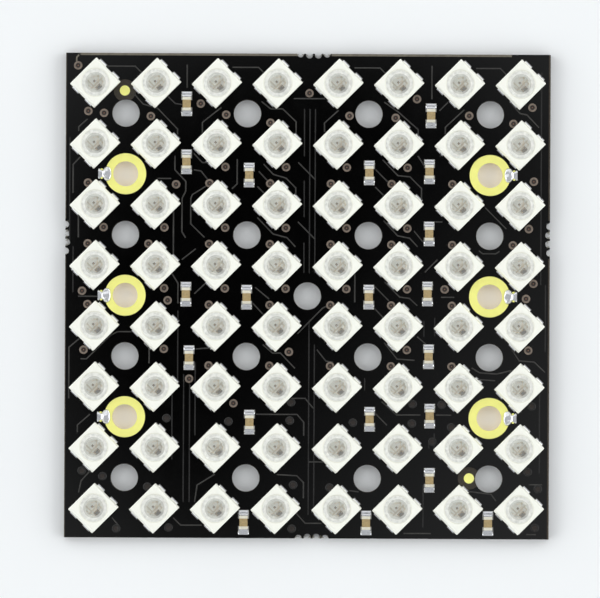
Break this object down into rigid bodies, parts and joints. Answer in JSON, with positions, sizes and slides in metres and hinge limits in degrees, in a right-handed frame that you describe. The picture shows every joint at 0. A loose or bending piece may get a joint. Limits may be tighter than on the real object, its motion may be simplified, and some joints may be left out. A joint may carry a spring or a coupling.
{
  "type": "led dot matrix",
  "caption": "Square circuit board with a close grid of square RGB LEDs turned on their corners, plain mounting holes, gold-plated wiring holes and chip capacitors.",
  "frame": {"origin": "middle of the board, on the underside that it rests on", "axes": "+Z out of the lit face; +X along a row of LEDs, +Y towards the first row"},
  "size_m": [0.071, 0.071, 0.0032],
  "materials": {
    "laminate": "routed glass-epoxy laminate",
    "solder_mask": "black solder mask, satin",
    "copper": "bare copper",
    "via_collar": "copper under solder mask",
    "gold_plating": "flat gold plating on copper",
    "solder": "reflowed solder, bright",
    "capacitor_ceramic": "fired tan ceramic, not plastic",
    "capacitor_end": "matte tin plating",
    "led_housing": "moulded white reflector plastic",
    "lead_frame": "silver-plated copper",
    "encapsulant": "clear cast silicone",
    "driver_chip": "diced silicon, not plastic",
    "red_die": "diced semiconductor, not plastic",
    "green_die": "diced semiconductor on sapphire, not plastic",
    "blue_die": "diced semiconductor on sapphire, not plastic"
  },
  "bodies": {
    "root": {"circuit_board": "laminate", "solder_mask": "solder_mask", "copper_pads": "copper", "via_collars": "via_collar", "camera_marks": "gold_plating", "plated_hole_1": "gold_plating", "plated_hole_2": "gold_plating", "plated_hole_3": "gold_plating", "plated_hole_4": "gold_plating", "plated_hole_5": "gold_plating", "plated_hole_6": "gold_plating", "terminal_solder_1": "solder", "terminal_solder_2": "solder", "terminal_solder_3": "solder", "terminal_solder_4": "solder", "terminal_solder_5": "solder", "terminal_solder_6": "solder", "capacitor_bodies": "capacitor_ceramic", "capacitor_ends": "capacitor_end", "capacitor_solder": "solder", "led_housings_row_1": "led_housing", "led_housings_row_2": "led_housing", "led_housings_row_3": "led_housing", "led_housings_row_4": "led_housing", "led_housings_row_5": "led_housing", "led_housings_row_6": "led_housing", "led_housings_row_7": "led_housing", "led_housings_row_8": "led_housing", "led_leads_row_1": "lead_frame", "led_leads_row_2": "lead_frame", "led_leads_row_3": "lead_frame", "led_leads_row_4": "lead_frame", "led_leads_row_5": "lead_frame", "led_leads_row_6": "lead_frame", "led_leads_row_7": "lead_frame", "led_leads_row_8": "lead_frame", "led_encapsulants_row_1": "encapsulant", "led_encapsulants_row_2": "encapsulant", "led_encapsulants_row_3": "encapsulant", "led_encapsulants_row_4": "encapsulant", "led_encapsulants_row_5": "encapsulant", "led_encapsulants_row_6": "encapsulant", "led_encapsulants_row_7": "encapsulant", "led_encapsulants_row_8": "encapsulant", "led_driver_chips": "driver_chip", "led_red_dies": "red_die", "led_green_dies": "green_die", "led_blue_dies": "blue_die", "led_solder": "solder"}
  },
  "joints": []
}
